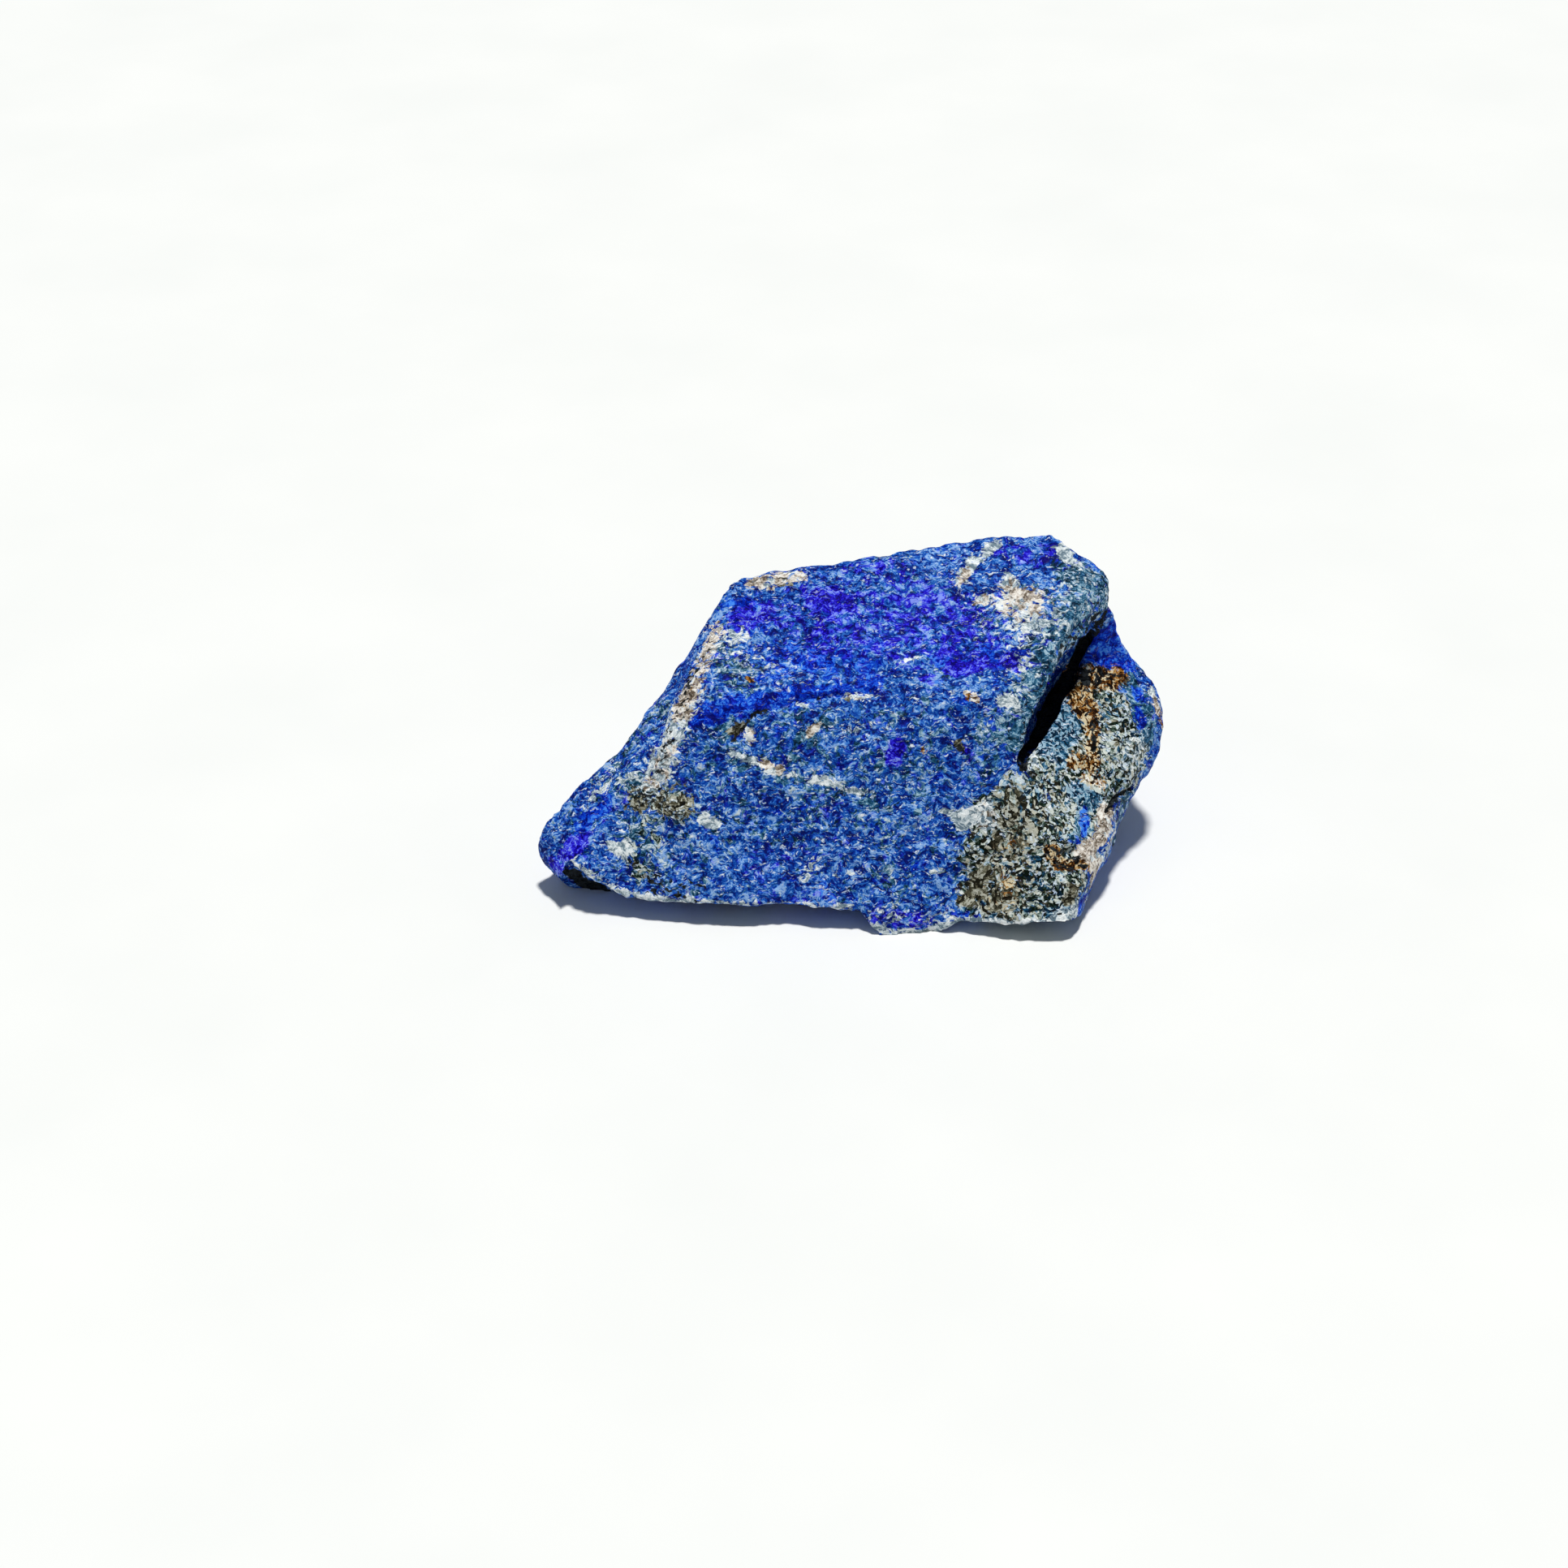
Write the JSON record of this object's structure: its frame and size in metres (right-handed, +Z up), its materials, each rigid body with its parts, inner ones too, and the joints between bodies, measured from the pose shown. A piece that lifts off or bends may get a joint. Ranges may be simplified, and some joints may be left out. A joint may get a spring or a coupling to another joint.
{
  "type": "lapis lazuli specimen",
  "caption": "Rough broken piece of lapis lazuli, a wedge-shaped slab with a sloping blue face, a granular layer beside it and a flat underside it rests on.",
  "frame": {"origin": "middle of the bounding box of the stone, on the plane it rests on", "axes": "+Z up, +X along the longest side towards the granular layer, the broad sloping face towards -Y"},
  "size_m": [0.041, 0.0234, 0.02],
  "materials": {
    "stone": "rough, granular broken surface"
  },
  "bodies": {
    "root": {"stone": "stone"}
  },
  "joints": []
}
